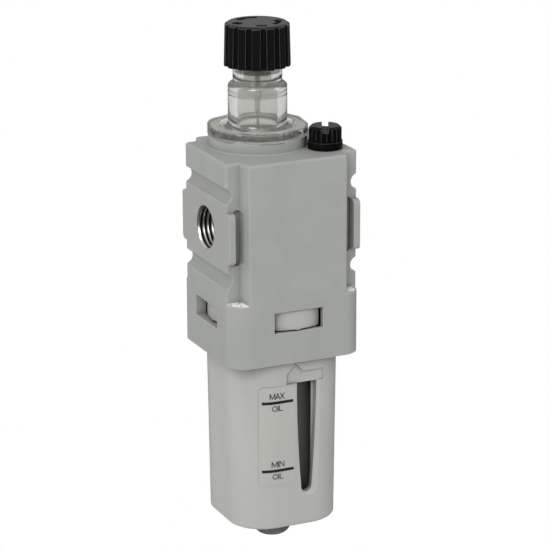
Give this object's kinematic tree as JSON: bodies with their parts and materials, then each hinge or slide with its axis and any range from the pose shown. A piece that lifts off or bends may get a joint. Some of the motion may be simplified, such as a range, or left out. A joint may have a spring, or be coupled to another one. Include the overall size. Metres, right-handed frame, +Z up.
{
  "type": "air line lubricator",
  "caption": "Modular oil mist lubricator with quarter inch pipe ports, clear drip dome, ribbed adjusting knob, fill plug and a guarded oil bowl on a quarter-turn bayonet",
  "frame": {"origin": "where the axis of the two pipe ports crosses the axis of the oil bowl", "axes": "air runs along +X from inlet to outlet, the front with the sight slot and the level label faces -Y, and +Z is up, from the bowl to the adjusting knob"},
  "size_m": [0.04, 0.0374, 0.1509],
  "materials": {
    "head_paint": "fine sand-textured light grey paint on die-cast aluminium",
    "clear_plastic": "clear moulded polycarbonate",
    "bowl_plastic": "clear moulded polycarbonate",
    "seal_rubber": "smooth black nitrile rubber",
    "black_plastic": "moulded black plastic, half gloss",
    "spindle_brass": "turned brass",
    "pale_plastic": "natural acetal",
    "filter_bronze": "sintered bronze grains",
    "ball_steel": "ground steel",
    "guard_plastic": "moulded light grey nylon, half matt",
    "label_film": "printed silver grey film"
  },
  "bodies": {
    "head": {"head_body": "head_paint", "sight_dome": "clear_plastic", "dome_o_ring": "seal_rubber", "needle_seat": "clear_plastic", "spindle_bush": "black_plastic", "damper_retainer": "pale_plastic", "retainer_o_ring": "seal_rubber", "siphon_tube": "pale_plastic", "siphon_filter": "filter_bronze"},
    "knob": {"adjusting_knob": "black_plastic"},
    "needle": {"needle_spindle": "spindle_brass", "needle_o_ring": "seal_rubber"},
    "plug_seal": {"fill_plug_o_ring": "seal_rubber"},
    "plug": {"fill_plug": "black_plastic"},
    "damper": {"flow_damper": "seal_rubber"},
    "siphon_ball": {"siphon_check_ball": "ball_steel"},
    "refill_ball": {"refill_check_ball": "ball_steel"},
    "bowl_unit": {"bowl": "bowl_plastic", "bowl_o_ring": "seal_rubber", "bowl_guard": "guard_plastic", "level_label": "label_film"}
  },
  "joints": [
    {"name": "knob_turn", "type": "hinge", "parent": "head", "child": "knob", "pos_m": [-0.00243, 0.00324, 0.05], "axis": [0, 0, 1], "range_deg": [-52, 721]},
    {"name": "needle_travel", "type": "slide", "parent": "knob", "child": "needle", "axis": [0, 0, 1], "range_m": [-0.0001, 0.0014]},
    {"name": "plug_turn", "type": "hinge", "parent": "plug_seal", "child": "plug", "pos_m": [0.01278, -0.00868, 0.0212], "axis": [0, 0, 1], "range_deg": [0, 1441]},
    {"name": "plug_lift", "type": "slide", "parent": "head", "child": "plug_seal", "axis": [0, 0, 1], "range_m": [0, 0.004]},
    {"name": "damper_lean", "type": "hinge", "parent": "head", "child": "damper", "pos_m": [0, 0, -0.005], "axis": [0, 1, 0], "range_deg": [0, 35], "stiffness_Nm_per_rad": 0.002},
    {"name": "siphon_ball_lift", "type": "slide", "parent": "head", "child": "siphon_ball", "axis": [0, 0, 1], "range_m": [0, 0.0008]},
    {"name": "refill_ball_lift", "type": "slide", "parent": "head", "child": "refill_ball", "axis": [0, 0, 1], "range_m": [0, 0.0005]},
    {"name": "guard_turn", "type": "hinge", "parent": "head", "child": "bowl_unit", "pos_m": [0, 0, -0.05], "axis": [0, 0, 1], "range_deg": [0, 45]}
  ],
  "couplings": [
    {"joint": "knob_turn", "follows": "needle_travel", "rad_per_m": 8976},
    {"joint": "plug_turn", "follows": "plug_lift", "rad_per_m": 6283.2}
  ]
}
